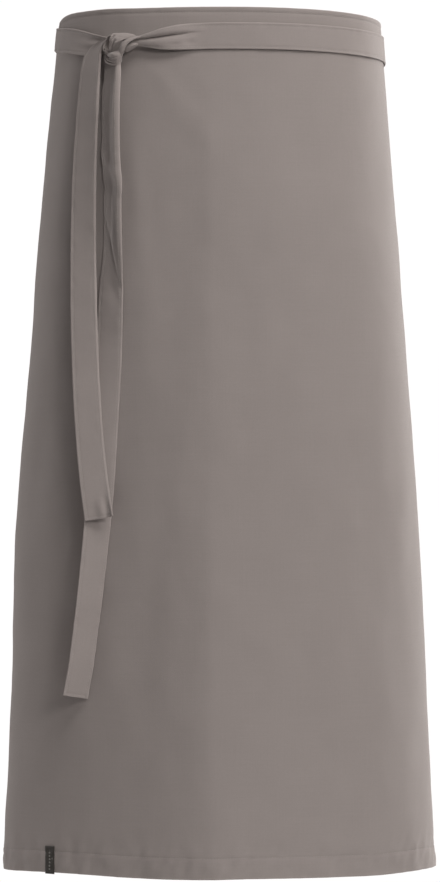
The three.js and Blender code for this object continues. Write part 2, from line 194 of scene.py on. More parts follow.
# Ties round the waist: share of the way to the knot, height in tie widths, side of the panel (1 outside,
# -1 inside), lift in layers and share of the width that the strap stands tall
TIE_ROUND_RIGHT = rows(
    "along height side lift tall",
    (0.000, 0.54, -1, 0, 1),
    (0.060, 0.46, -1, 0, 1),
    (0.130, 0.00, -0.6, 0, 1),
    (0.190, -0.50, 0, 0, 1),
    (0.213, -0.54, 1, 0, 1),
    (0.300, -0.50, 1, 0, 1),
    (0.460, 0.02, 1, 0, 1),
    (0.620, 0.02, 1, 0, 1),
    (0.846, 0.02, 1, 0, 0.99),
    (0.889, -0.01, 1, 0.1, 0.97),
    (0.915, -0.06, 1, 0.3, 0.90),
    (0.939, -0.11, 1, 0.5, 0.75),
    (0.960, -0.15, 1, 0.7, 0.50),
    (0.979, -0.16, 1, 0.7, 0.31),
    (1.000, -0.16, 1, 0.7, 0.22),
)
TIE_ROUND_LEFT = rows(
    "along height side lift tall",
    (0.000, 0.56, 1, 0, 1.00),
    (0.340, 0.56, 1, 0, 1.00),
    (0.640, 0.58, 1, 0, 0.98),
    (0.740, 0.52, 1, 0, 0.88),
    (0.780, 0.42, 1, 0, 0.90),
    (0.824, 0.29, 1, 0, 0.95),
    (0.887, 0.11, 1, 0, 0.96),
    (0.917, 0.00, 1, 0, 0.93),
    (0.950, -0.13, 1, 0, 0.85),
    (1.000, -0.22, 1, 0, 0.55),
)

# Hanging ends: share of the fall, place aside in tie widths, turn in degrees, lift in layers, share of the
# width, and how far the lengthwise fold has closed
SHORT_TAIL_ROWS = rows(
    "fall aside turn lift wide fold",
    (0.000, -0.10, 16, 3.6, 0.06, 0),
    (0.003, -0.20, 20, 3.9, 0.11, 0),
    (0.007, -0.34, 26, 4.0, 0.18, 0),
    (0.015, -0.60, 32, 3.4, 0.34, 0),
    (0.025, -0.81, 36, 2.7, 0.62, 0),
    (0.035, -0.92, 38, 2.6, 0.77, 0),
    (0.048, -0.97, 38, 2.8, 0.86, 0),
    (0.070, -1.02, 38, 3.2, 0.94, 0),
    (0.110, -1.09, 36, 3.4, 0.97, 0),
    (0.200, -1.19, 31, 3.2, 0.99, 0),
    (0.330, -1.28, 25, 2.8, 1.00, 0),
    (0.560, -1.26, 14, 4.4, 1.00, 0),
    (0.750, -1.12, 4, 5.2, 1.00, 0),
    (0.890, -0.92, 0, 4.8, 1.02, 0),
    (1.000, -0.66, 0, 4.0, 1.06, 0),
)
LONG_TAIL_ROWS = rows(
    "fall aside turn lift wide fold",
    (0.000, -0.22, 44, 1.6, 0.70, 0.3),
    (0.020, -0.24, 56, 0.8, 0.90, 0.8),
    (0.050, -0.29, 60, 0.4, 1.05, 1),
    (0.120, -0.29, 60, 0.0, 1.07, 1),
    (0.170, -0.23, 60, 0.0, 1.07, 1),
    (0.193, -0.15, 59, 0.0, 1.07, 0.9),
    (0.212, -0.20, 59, 0.0, 1.06, 0.9),
    (0.265, -0.20, 55, 0.0, 1.03, 0.6),
    (0.305, -0.20, 47, 0.0, 1.00, 0.2),
    (0.354, -0.25, 32, 0.0, 1.00, 0),
    (0.450, -0.31, 20, 0.0, 1.00, 0),
    (0.545, -0.44, 8, 0.0, 1.00, 0),
    (0.647, -0.58, -4, 0.0, 1.00, 0),
    (0.720, -0.71, -12, 0.0, 1.00, 0),
    (0.813, -0.93, -20, 0.0, 1.00, 0),
    (0.940, -1.30, -25, 0.0, 1.00, 0),
    (1.000, -1.56, -25, 0.0, 1.00, 0),
)

# The knot, in tie widths from its middle: right, up and out along the panel's face. A fold is a strip of
# cloth between two edges, each row its first edge and then its second. A roll is a rounded fold.
TOP_WRAP = rows(
    "place right up out right2 up2 out2",
    (0.00, 0.84, 0.46, 0.08, 0.80, 0.36, 0.06),
    (0.12, 0.74, 0.52, 0.22, 0.71, 0.36, 0.28),
    (0.30, 0.52, 0.56, 0.34, 0.54, 0.31, 0.46),
    (0.46, 0.26, 0.56, 0.44, 0.36, 0.23, 0.56),
    (0.60, 0.07, 0.54, 0.50, 0.24, 0.17, 0.59),
    (0.72, 0.00, 0.42, 0.52, 0.15, 0.11, 0.55),
    (0.82, -0.04, 0.26, 0.48, 0.06, 0.04, 0.46),
    (0.92, -0.08, 0.05, 0.38, -0.03, -0.05, 0.36),
    (1.00, -0.15, -0.12, 0.22, -0.11, -0.15, 0.22),
)
CUFF = rows(
    "place right up out right2 up2 out2",
    (0.00, -0.47, -0.18, 0.06, -0.35, -0.06, 0.10),
    (0.14, -0.42, -0.33, 0.18, -0.18, -0.12, 0.27),
    (0.30, -0.31, -0.49, 0.27, -0.02, -0.13, 0.37),
    (0.48, -0.10, -0.59, 0.33, 0.17, -0.11, 0.44),
    (0.66, 0.10, -0.60, 0.33, 0.33, -0.09, 0.42),
    (0.82, 0.22, -0.53, 0.24, 0.40, -0.07, 0.30),
    (1.00, 0.20, -0.45, 0.04, 0.34, -0.07, 0.06),
)
LOOP_INSIDE = rows(
    "place right up out right2 up2 out2",
    (0.00, -0.02, 0.50, 0.40, -0.01, 0.46, 0.15),
    (0.20, -0.13, 0.50, 0.40, -0.10, 0.46, 0.05),
    (0.45, -0.27, 0.42, 0.38, -0.23, 0.38, 0.03),
    (0.70, -0.38, 0.22, 0.36, -0.34, 0.20, 0.02),
    (1.00, -0.43, -0.02, 0.34, -0.39, -0.02, 0.02),
)
UPPER_ROLL = rows(
    "place right up out half",
    (0.00, 1.12, 0.44, 0.10, 0.03),
    (0.20, 0.90, 0.39, 0.24, 0.05),
    (0.42, 0.66, 0.27, 0.40, 0.08),
    (0.62, 0.47, 0.11, 0.45, 0.11),
    (0.80, 0.36, -0.06, 0.40, 0.12),
    (1.00, 0.24, -0.24, 0.28, 0.10),
)
LOWER_ROLL = rows(
    "place right up out half",
    (0.00, 0.94, 0.19, -0.02, 0.04),
    (0.20, 0.84, 0.17, 0.08, 0.09),
    (0.50, 0.70, 0.12, 0.17, 0.12),
    (0.75, 0.57, 0.05, 0.20, 0.12),
    (1.00, 0.36, -0.04, 0.18, 0.11),
)
SIDE_LOBE = rows(
    "place right up out half",
    (0.00, -0.44, -0.04, 0.08, 0.05),
    (0.35, -0.36, -0.05, 0.20, 0.08),
    (0.70, -0.24, -0.09, 0.27, 0.08),
    (1.00, -0.12, -0.14, 0.26, 0.06),
)


def read(table, column, at):
    """A column's value at a place given in the table's first column, on a smooth curve through its rows."""
    keys = next(iter(table.values()))
    values = table[column]
    at = np.asarray(at, float)
    row = np.clip(np.searchsorted(keys, at, side="right") - 1, 0, len(keys) - 2)
    before = np.maximum(np.arange(len(keys)) - 1, 0)
    after = np.minimum(np.arange(len(keys)) + 1, len(keys) - 1)
    slopes = (values[after] - values[before]) / (keys[after] - keys[before])
    span = keys[row + 1] - keys[row]
    u = np.clip((at - keys[row]) / span, 0, 1)
    step = u * u * (3 - 2 * u)
    leave = u * (1 - u) ** 2 * span * slopes[row]
    arrive = u * u * (u - 1) * span * slopes[row + 1]
    return values[row] + (values[row + 1] - values[row]) * step + leave + arrive


def signed_power(value, power):
    """The value's size raised to a power, with the value's sign."""
    return np.sign(value) * np.abs(value) ** power


def outline(down, angle):
    """Points and outward directions on the body's outline at a share of the length, angle 0 in front."""
    half_width = (WAIST_WIDTH + (HEM_WIDTH - WAIST_WIDTH) * read(FLARE, "widen", down)) / 2
    half_depth = (WAIST_DEPTH + (HEM_DEPTH - WAIST_DEPTH) * read(FLARE, "deepen", down)) / 2
    front = WAIST_ROUNDNESS + (HEM_ROUNDNESS - WAIST_ROUNDNESS) * down
    power = np.where(np.cos(angle) > 0, front, BACK_ROUNDNESS)
    across = signed_power(np.sin(angle), 2 / power)
    ahead = -signed_power(np.cos(angle), 2 / power)
    x = across * half_width + WAIST_WIDTH * read(FLARE, "lean", down)
    y = ahead * half_depth
    nx = signed_power(across, power - 1) / half_width
    ny = signed_power(ahead, power - 1) / half_depth
    size = np.hypot(nx, ny)
    return x, y, nx / size, ny / size


# Angles all round the outline, from behind to behind
RING = np.linspace(-math.pi, math.pi, 721)


def angles_at(down, distance):
    """Angles on the outline at distances round it from the middle of the front."""
    x, y, _, _ = outline(down, RING)
    arcs = np.concatenate([[0], np.cumsum(np.hypot(np.diff(x), np.diff(y)))])
    place = np.asarray(distance, float) + arcs[len(arcs) // 2]
    turns = np.floor(place / arcs[-1])
    return np.interp(place - turns * arcs[-1], arcs, RING) + turns * 2 * math.pi


# The way round the waist, and the knot's place on it with its outward direction
waist_x, waist_y, _, _ = outline(WAIST_SHARE, RING)
AROUND = np.hypot(np.diff(waist_x), np.diff(waist_y)).sum()
KNOT_X, KNOT_Y, KNOT_NX, KNOT_NY = map(float, outline(WAIST_SHARE, angles_at(WAIST_SHARE, KNOT_ARC)))


def fold_out(distance, down):
    """How far the soft folds push the panel out."""
    total = np.zeros(np.broadcast(distance, down).shape)
    for fold in FOLDS:
        grown = ramp(down, fold["start"], 1 - fold["start"]) ** 1.5
        shape = bump(distance - fold["at"] * HALF_CUT, fold["spread"] * CUT_WIDTH)
        total += WAIST_DEPTH * fold["swell"] * grown * shape
    return total


def panel_points(distance, down, out):
    """Grid of points on the panel, one row for each share of the length."""
    grid = np.zeros((len(down), len(distance), 3))
    for i, share in enumerate(down):
        x, y, nx, ny = outline(share, angles_at(share, distance))
        reach = out[i] + fold_out(distance, share)
        z = np.full(len(distance), TOP_Z - share * APRON_LENGTH)
        grid[i] = np.stack([x + nx * reach, y + ny * reach, z], 1)
    return grid


def panel_depth(x, z):
    """Depth of the panel's front face at places across it, at one height."""
    share = np.clip((TOP_Z - z) / APRON_LENGTH, 0, 1)
    distance = np.linspace(-HALF_CUT, HALF_CUT, 161)
    run = panel_points(distance, [share], np.zeros((1, len(distance))))[0]
    run = run[run[:, 1] < 0]
    return np.interp(x, run[:, 0], run[:, 1])


class Waves:
    """Smooth random relief made of a few dozen plane waves, the same on every run."""

    def __init__(self, seed, count, shortest, longest, stretch=(1, 1)):
        source = np.random.default_rng(seed)
        length = np.exp(source.uniform(math.log(shortest), math.log(longest), count))
        heading = source.uniform(0, math.pi, count)
        self.ku = 2 * math.pi / length * np.cos(heading) / stretch[0]
        self.kv = 2 * math.pi / length * np.sin(heading) / stretch[1]
        self.phase = source.uniform(0, 2 * math.pi, count)
        self.weight = length / longest
        self.scale = 1 / math.sqrt(0.5 * np.sum(self.weight**2))

    def __call__(self, u, v):
        """The relief at a place on the cloth."""
        total = 0.0
        for ku, kv, phase, weight in zip(self.ku, self.kv, self.phase, self.weight):
            total = total + weight * np.sin(ku * u + kv * v + phase)
        return total * self.scale


def bump(distance, width):
    """1 at no distance, falling off smoothly on both sides."""
    return np.exp(-0.5 * (distance / width) ** 2)


def ramp(value, start, span):
    """0 up to the start, 1 a span later, and a straight line between them."""
    return np.clip((value - start) / span, 0, 1)


def rounded_edge(near, radius, least):
    """The share of a wall's full thickness near its rounded edge."""
    return np.sqrt(np.clip(1 - (1 - np.clip(near / radius, 0, 1)) ** 2, least, 1))


def steps(*stops):
    """Places from stop to stop, each given as (place, spacing up to it)."""
    places = [stops[0][0]]
    for (low, _), (high, spacing) in zip(stops, stops[1:]):
        count = max(1, round((high - low) / spacing))
        places.extend(low + (high - low) * (i + 1) / count for i in range(count))
    return np.array(places)


def new_piece(name, points, faces, cloth, material):
    """A smooth mesh. cloth holds (across, along, painted edge highlight) for each of its points."""
    mesh = bpy.data.meshes.new(name)
    mesh.from_pydata(points.tolist(), [], faces)
    values = cloth.astype(np.float32).ravel()
    mesh.attributes.new("cloth", "FLOAT_VECTOR", "POINT").data.foreach_set("vector", values)
    mesh.shade_smooth()
    mesh.materials.append(material)
    piece = bpy.data.objects.new(name, mesh)
    bpy.context.collection.objects.link(piece)
    return piece


def sheet_object(name, face, back, cloth, material):
    """A closed thin mesh from two grids of points, with its cloth values in a third."""
    n, m = face.shape[:2]
    points = np.concatenate([face.reshape(-1, 3), back.reshape(-1, 3)])
    index = np.arange(n * m).reshape(n, m)
    a, b = index[:-1, :-1].ravel(), index[:-1, 1:].ravel()
    c, d = index[1:, 1:].ravel(), index[1:, :-1].ravel()
    size = n * m
    quads = [np.stack([a, b, c, d], 1), np.stack([d, c, b, a], 1) + size]
    for rim in (index[0], index[:, -1], index[-1, ::-1], index[::-1, 0]):
        p, q = rim[:-1], rim[1:]
        quads.append(np.stack([q, p, p + size, q + size], 1))
    faces = np.concatenate(quads)
    v0, v1, v2, v3 = (points[faces[:, k]] for k in range(4))
    volume = np.einsum("ij,ij->i", v0, np.cross(v1, v2) + np.cross(v2, v3)).sum()
    if volume < 0:
        faces = faces[:, ::-1]
    both = np.concatenate([cloth.reshape(-1, 3)] * 2).astype(np.float32)
    piece = new_piece(name, points, faces.tolist(), both, material)
    layer = piece.data.uv_layers.new(name="UVMap")
    corner = np.empty(len(piece.data.loops), np.int32)
    piece.data.loops.foreach_get("vertex_index", corner)
    layer.data.foreach_set("uv", both[corner, :2].ravel())
    return piece


def finish_piece(piece, slot, *nodes):
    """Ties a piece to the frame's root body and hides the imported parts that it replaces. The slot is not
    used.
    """
    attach(piece, "root")
    if nodes:
        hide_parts(*nodes)


# Materials


class Nodes:
    """Short way to add and link shader nodes."""

    def __init__(self, name):
        self.material = bpy.data.materials.new(name)
        self.material.use_nodes = True
        self.tree = self.material.node_tree
        self.shader = self.tree.nodes["Principled BSDF"]

    def put(self, socket, value):
        """Gives a socket a value, or links it to another socket."""
        if isinstance(value, bpy.types.NodeSocket):
            self.tree.links.new(value, socket)
        else:
            socket.default_value = value

    def math(self, operation, *values):
        """The result of a sum, product or other operation."""
        node = self.tree.nodes.new("ShaderNodeMath")
        node.operation = operation
        for socket, value in zip(node.inputs, values):
            self.put(socket, value)
        return node.outputs[0]

    def noise(self, vector, scale, detail=2.0, roughness=0.5):
        """Smooth random values from 0 to 1."""
        node = self.tree.nodes.new("ShaderNodeTexNoise")
        self.put(node.inputs["Vector"], vector)
        node.inputs["Scale"].default_value = scale
        node.inputs["Detail"].default_value = detail
        node.inputs["Roughness"].default_value = roughness
        return node.outputs["Fac"]

    def stretched(self, vector, scale):
        """A vector scaled on each axis."""
        node = self.tree.nodes.new("ShaderNodeVectorMath")
        node.operation = "MULTIPLY"
        self.put(node.inputs[0], vector)
        node.inputs[1].default_value = scale
        return node.outputs[0]

    def spread(self, value, low, high):
        """Maps 0 to 1 onto low to high."""
        node = self.tree.nodes.new("ShaderNodeMapRange")
        self.put(node.inputs["Value"], value)
        node.inputs["To Min"].default_value = low
        node.inputs["To Max"].default_value = high
        return node.outputs[0]

    def cloth(self):
        """Across and along the cloth, in metres, and its share of painted edge highlight."""
        attribute = self.tree.nodes.new("ShaderNodeAttribute")
        attribute.attribute_name = "cloth"
        split = self.tree.nodes.new("ShaderNodeSeparateXYZ")
        self.put(split.inputs[0], attribute.outputs["Vector"])
        return attribute.outputs["Vector"], split.outputs

    def tint(self, colour, factor):
        """A colour made lighter or darker by a factor."""
        node = self.tree.nodes.new("ShaderNodeVectorMath")
        node.operation = "SCALE"
        node.inputs[0].default_value = colour
        self.put(node.inputs["Scale"], factor)
        return node.outputs[0]

    def bumped(self, height, distance):
        """A normal that follows small heights."""
        node = self.tree.nodes.new("ShaderNodeBump")
        node.inputs["Distance"].default_value = distance
        self.put(node.inputs["Height"], height)
        return node.outputs[0]


def woven_material(name, colour, edge_highlight_gain):
    """Plain-woven cloth: crossing threads of uneven weight and faint cloudiness, with a painted highlight
    that makes its folded edges paler.
    """
    n = Nodes(name)
    vector, (across, along, edge_highlight) = n.cloth()
    warp = n.math("SINE", n.math("MULTIPLY", across, math.pi / THREAD_PITCH))
    weft = n.math("SINE", n.math("MULTIPLY", along, math.pi / THREAD_PITCH))
    over = n.math("MULTIPLY", warp, weft)
    ridges = n.math("ADD", n.math("ABSOLUTE", warp), n.math("ABSOLUTE", weft))
    weave = n.math("ADD", n.math("MULTIPLY", ridges, 0.35), n.math("MULTIPLY", over, 0.3))
    warp_slub = n.noise(n.stretched(vector, (1 / THREAD_PITCH, SLUB_SCALE, 0)), 0.9, 2, 0.6)
    weft_slub = n.noise(n.stretched(vector, (SLUB_SCALE, 1 / THREAD_PITCH, 0)), 0.9, 2, 0.6)
    cloud = n.noise(n.stretched(vector, (1, 1, 0)), 26, 3, 0.55)
    grain = n.noise(n.stretched(vector, (1, 1, 0)), 420, 2, 0.6)
    factor = n.math("ADD", n.spread(warp_slub, 0.955, 1.045), n.spread(weft_slub, -0.05, 0.05))
    factor = n.math("ADD", factor, n.spread(cloud, -0.035, 0.035))
    factor = n.math("ADD", factor, n.spread(grain, -0.05, 0.05))
    factor = n.math("ADD", factor, n.math("MULTIPLY", n.math("SUBTRACT", weave, 0.45), 0.10))
    # Painted highlight: the colour is made paler near the cloth's edges, standing in for light that their
    # rounded folds catch
    factor = n.math("ADD", factor, n.math("MULTIPLY", edge_highlight, edge_highlight_gain))
    n.put(n.shader.inputs["Base Color"], n.tint(colour, factor))
    n.put(n.shader.inputs["Roughness"], n.spread(grain, 0.80, 0.95))
    n.shader.inputs["Sheen Weight"].default_value = CLOTH_SHEEN
    n.shader.inputs["Sheen Roughness"].default_value = 0.45
    n.shader.inputs["Sheen Tint"].default_value = (1.0, 0.97, 0.94, 1.0)
    n.shader.inputs["Specular IOR Level"].default_value = 0.25
    height = n.math("ADD", weave, n.math("MULTIPLY", n.math("ADD", warp_slub, weft_slub), 0.5))
    n.put(n.shader.inputs["Normal"], n.bumped(height, 0.09 * MM))
    return n.material


def thread_material(name, colour):
    """Sewing thread: plied, with a soft shine."""
    n = Nodes(name)
    vector, (across, _, _) = n.cloth()
    ply = n.math("SINE", n.math("MULTIPLY", across, 2 * math.pi / PLY_PITCH))
    shade = n.noise(vector, 300, 1)
    factor = n.math("ADD", n.spread(shade, 0.92, 1.08), n.math("MULTIPLY", ply, 0.06))
    n.put(n.shader.inputs["Base Color"], n.tint(colour, factor))
    n.put(n.shader.inputs["Roughness"], n.spread(shade, 0.5, 0.7))
    n.shader.inputs["Sheen Weight"].default_value = 0.1
    n.put(n.shader.inputs["Normal"], n.bumped(ply, 0.05 * MM))
    return n.material


def label_material(name):
    """Dark woven tape with a plain column of small pale diamonds, and a painted highlight along its edges."""
    n = Nodes(name)
    vector, (across, along, edge_highlight) = n.cloth()
    rib = n.math("SINE", n.math("MULTIPLY", along, math.pi / LABEL_PITCH))
    cross = n.math("SINE", n.math("MULTIPLY", across, math.pi / LABEL_PITCH))
    weave = n.math("MULTIPLY", rib, cross)
    spot = n.math("SUBTRACT", n.math("MODULO", along, DIAMOND_REPEAT), DIAMOND_REPEAT / 2)
    reach = n.math("ADD", n.math("ABSOLUTE", spot), n.math("ABSOLUTE", across))
    diamond = n.math("LESS_THAN", reach, DIAMOND_REACH)
    heart = n.math("LESS_THAN", reach, HEART_REACH)
    from_middle = n.math("ABSOLUTE", n.math("SUBTRACT", along, LABEL_HEIGHT / 2))
    in_column = n.math("LESS_THAN", from_middle, DIAMOND_COLUMN / 2)
    figure = n.math("MULTIPLY", n.math("SUBTRACT", diamond, heart), in_column)
    shade = n.noise(vector, 700, 2)
    factor = n.math("ADD", n.spread(shade, 0.85, 1.15), n.math("MULTIPLY", weave, 0.12))
    # Painted highlight: paler near the label's edges
    factor = n.math("ADD", factor, n.math("MULTIPLY", edge_highlight, 0.35))
    mix = n.tree.nodes.new("ShaderNodeMix")
    mix.data_type = "RGBA"
    n.put(mix.inputs[0], figure)
    n.put(mix.inputs[6], n.tint(LABEL_COLOUR, factor))
    n.put(mix.inputs[7], n.tint(DIAMOND_COLOUR, factor))
    n.put(n.shader.inputs["Base Color"], mix.outputs[2])
    n.put(n.shader.inputs["Roughness"], n.spread(shade, 0.55, 0.75))
    n.shader.inputs["Sheen Weight"].default_value = 0.06
    height = n.math("ADD", weave, n.math("MULTIPLY", figure, 1.5))
    n.put(n.shader.inputs["Normal"], n.bumped(height, 0.06 * MM))
    return n.material


PANEL_CLOTH = woven_material("panel_cloth", PANEL_COLOUR, 0.10)
TIE_CLOTH = woven_material("tie_cloth", TIE_COLOUR, 0.07)
THREAD = thread_material("sewing_thread", THREAD_COLOUR)
LABEL = label_material("label_weave")


# The panel

# Faint drag lines, in millimetres: start and end as (across, down), height and width
DRAG_LINES = (
    ((-92, 40), (-5, 130), 0.8, 6),
    ((-80, 75), (20, 165), 0.7, 8),
    ((-95, 90), (-70, 330), 0.8, 7),
    ((150, 60), (60, 260), 0.7, 10),
    ((-40, 560), (90, 700), 0.8, 16),
)


def in_hem(away, width):
    """1 within a hem and 0 past it, over a short step."""
    return 0.5 - 0.5 * np.tanh((away - width) / HEM_STEP)


def ridge(s, d, start, end, height, width):
    """A soft ridge along a straight line between two places on the cloth."""
    way = np.array(end) - np.array(start)
    length = math.hypot(*way)
    way = way / length
    along = (s - start[0]) * way[0] + (d - start[1]) * way[1]
    across = (s - start[0]) * way[1] - (d - start[1]) * way[0]
    taper = np.clip(np.sin(math.pi * ramp(along, 0, length)), 0, 1)
    return height * taper * bump(across, width)


def soft_shape(s, d):
    """The slack cloth's own gentle forms: a crest down the middle, a swell above it and drag lines."""
    crest = 2.3 * MM * np.exp(-np.sqrt((s + 8 * MM) ** 2 + (2 * MM) ** 2) / (26 * MM))
    out = crest * ramp(d, 45 * MM, 120 * MM)
    out += 2.4 * MM * bump(d - 205 * MM, 46 * MM) * bump(s - 70 * MM, 62 * MM)
    for line in DRAG_LINES:
        out += MM * ridge(s / MM, d / MM, *line)
    return out


def edge_sway(s, d):
    """How far the top and bottom edges stand above their straight lines."""
    from_bottom = APRON_LENGTH - d
    waves = Waves(PANEL_SEED + 3, 10, 60 * MM, 240 * MM)(s, 0 * s)
    sway = 0.5 * MM * waves * np.clip(1 - from_bottom / (100 * MM), 0, 1)
    lift = 2.2 * MM * bump(s + 132 * MM, 26 * MM) + 2.8 * MM * bump(s + 180 * MM, 20 * MM)
    lift += 1.2 * MM * bump(s, 150 * MM)
    sway += lift * np.clip(1 - d / (60 * MM), 0, 1) ** 2
    hang = 2.2 * MM * bump(s + 50 * MM, 90 * MM) - 2.8 * MM * bump(s + 264 * MM, 38 * MM)
    return sway + hang * np.clip(1 - from_bottom / (120 * MM), 0, 1)


def panel_places():
    """Places across the panel and down it, closer together at its edges and hem lines."""
    bottom_line = APRON_LENGTH - BOTTOM_HEM
    down = steps(
        (0, 0),
        (EDGE_ROUND, 0.25 * MM),
        (TOP_HEM - 1.2 * MM, 1.2 * MM),
        (TOP_HEM + 1.2 * MM, 0.6 * MM),
        (14 * MM, 2 * MM),
        (APRON_LENGTH - 44 * MM, 4.9 * MM),
        (bottom_line - 1.5 * MM, 2.6 * MM),
        (bottom_line + 1.5 * MM, 0.6 * MM),
        (APRON_LENGTH - EDGE_ROUND, 2.6 * MM),
        (APRON_LENGTH, 0.25 * MM),
    )
    side = steps(
        (0, 0),
        (EDGE_ROUND, 0.4 * MM),
        (SIDE_HEM - 1.2 * MM, 3 * MM),
        (SIDE_HEM + 1.2 * MM, 0.8 * MM),
        (SIDE_HEM + 10 * MM, 3 * MM),
        (HALF_CUT, 4.8 * MM),
    )
    return np.concatenate([side - HALF_CUT, (HALF_CUT - side)[::-1][1:]]), down


def make_panel():
    """The wide cloth with its turned hems, stitch grooves, seam puckers and soft relief."""
    distance, drop = panel_places()
    s, d = np.meshgrid(distance, drop)
    from_side = HALF_CUT - np.abs(s)
    from_bottom = APRON_LENGTH - d
    relief = Waves(PANEL_SEED, 46, 40 * MM, 220 * MM, (0.8, 1.7))
    fine = Waves(PANEL_SEED + 1, 40, 9 * MM, 34 * MM, (1.0, 1.6))
    ripple = Waves(PANEL_SEED + 2, 24, 6 * MM, 15 * MM, (1.0, 3.0))
    out = 0.62 * MM * ramp(d, 0, 250 * MM) * relief(s, d) + 0.06 * MM * fine(s, d) + soft_shape(s, d)
    wall = np.full(s.shape, CLOTH)
    hems = (
        (from_bottom, BOTTOM_HEM, BOTTOM_PUCKER),
        (d, TOP_HEM, TOP_PUCKER),
        (from_side, SIDE_HEM, SIDE_PUCKER),
    )
    for away, width, pucker in hems:
        turned = in_hem(away, width)
        out += HEM_RISE * turned - HEM_GROOVE * bump(away - width, HEM_STEP)
        out += pucker * ripple(s + 0.3 * d, d + 0.3 * s) * bump(away - 0.6 * width, 0.75 * width)
        wall = np.maximum(wall, CLOTH + (HEM_CLOTH - CLOTH) * turned)
    near = np.minimum(np.minimum(from_bottom, d), from_side)
    middle = out - wall / 2
    half = wall / 2 * rounded_edge(near, EDGE_ROUND, 0.02)
    share = drop / APRON_LENGTH
    face = panel_points(distance, share, middle + half)
    back = panel_points(distance, share, middle - half)
    sway = edge_sway(s, d)
    face[..., 2] += sway
    back[..., 2] += sway
    # How much painted highlight each point gets: full at every edge, with a faint lift over the whole bottom
    # hem band
    edge_highlight = np.clip(bump(near, 0.9 * MM) + 0.07 * (from_bottom < BOTTOM_HEM), 0, 1)
    piece = sheet_object("panel", face, back, np.stack([s, d, edge_highlight], 2), PANEL_CLOTH)
    finish_piece(piece, "panel_cloth", "apron_panel")
    return piece, distance, share, face


# Straps: ties and their hanging ends

# Places across a strap, from edge to edge
ACROSS = steps((-1, 0), (-0.94, 0.02), (-0.78, 0.04), (0.78, 0.08), (0.94, 0.04), (1, 0.02))


def strap_relief(share, along, seed):
    """Height of a folded and edge-stitched strap over its middle, and how near its edges are."""
    half = TIE_WIDTH / 2
    inset = half * (1 - np.abs(share))
    fine = Waves(seed, 30, 5 * MM, 16 * MM, (1.6, 1.0))
    relief = Waves(seed + 1, 24, 22 * MM, 90 * MM, (1.2, 1.0))
    lip = 0.07 * MM * bump(inset - 1.2 * MM, 0.9 * MM)
    groove = 0.20 * MM * bump(inset - STITCH_INSET, STRAP_GROOVE)
    puckers = 0.10 * MM * fine(share * half, along) * bump(inset - STITCH_INSET, 3.0 * MM)
    return lip - groove + puckers + 0.16 * MM * relief(share * half, along), inset


def strap_object(name, middle, normal, share, along, seed, closed_ends):
    """A strap from the middle surface of its grid, with unit normals at each point."""
    out, inset = strap_relief(share, along, seed)
    to_start = np.where(closed_ends[0], along, 1)
    to_end = np.where(closed_ends[1], along.max() - along, 1)
    ends = np.minimum(to_start, to_end)
    near = np.minimum(inset, ends)
    out += -0.22 * MM * bump(ends - STITCH_INSET, 0.55 * MM) * (inset > STITCH_INSET)
    half = TIE_THICKNESS / 2 * rounded_edge(near, EDGE_ROUND, 0.03)
    face = middle + normal * (out + half)[..., None]
    back = middle - normal * (half - 0.3 * out)[..., None]
    # The third cloth value is the painted highlight along the strap's edges
    cloth = np.stack([share * TIE_WIDTH / 2, along, bump(near, 1.0 * MM)], 2)
    return sheet_object(name, face, back, cloth, TIE_CLOTH), face


def unit(vectors):
    """The same directions, one long."""
    return vectors / np.linalg.norm(vectors, axis=-1, keepdims=True)


def grid_normals(grid, towards):
    """Unit normals of a grid of points, on the side that towards points to."""
    normal = unit(np.cross(np.gradient(grid, axis=0), np.gradient(grid, axis=1)))
    flip = np.sign(np.einsum("ijk,ijk->ij", normal, towards))
    return normal * np.where(flip == 0, 1, flip)[..., None]


def round_tie(name, table, start, end, seed, gather):
    """A tie laid round the waist. gather(along, share) gives how far the folds near its knot stand out."""
    length = abs(end - start)
    places = np.linspace(0, 1, round(length / STRAP_STEP) + 1)
    angle = angles_at(WAIST_SHARE, start + (end - start) * places)
    share, along = np.meshgrid(ACROSS, places)
    height, side, lift, tall = (read(table, column, along) for column in ("height", "side", "lift", "tall"))
    under = -FOLDED_WALL - LAYER
    out = under + (CLEARANCE - under) * (side + 1) / 2 + LAYER * lift + TIE_THICKNESS / 2
    z = TIE_WIDTH * height + share * TIE_WIDTH / 2 * tall
    x, y, nx, ny = outline((TOP_Z - z) / APRON_LENGTH, np.repeat(angle[:, None], len(ACROSS), 1))
    slack = Waves(seed + 2, 14, 60 * MM, 260 * MM)(along * length, share * 10 * MM)
    reach = out + gather(along, share) + STRAP_SLACK * (1 + slack) * (side > 0.5)
    middle = np.stack([x + nx * reach, y + ny * reach, z], 2)
    normal = grid_normals(middle, np.stack([nx, ny, 0 * nx], 2))
    return strap_object(name, middle, normal, share, along * length, seed, (True, False))


def folded_turn(share):
    """Turn of a lengthwise fold across a strap, in radians: a flat floor, a steep wall and a lit strip."""
    wall = 0.5 + 0.5 * np.tanh((share + 0.2) / 0.10)
    strip = 0.5 + 0.5 * np.tanh((share - 0.7) / 0.08)
    return np.radians(-20 + 35 * wall - 45 * strip)


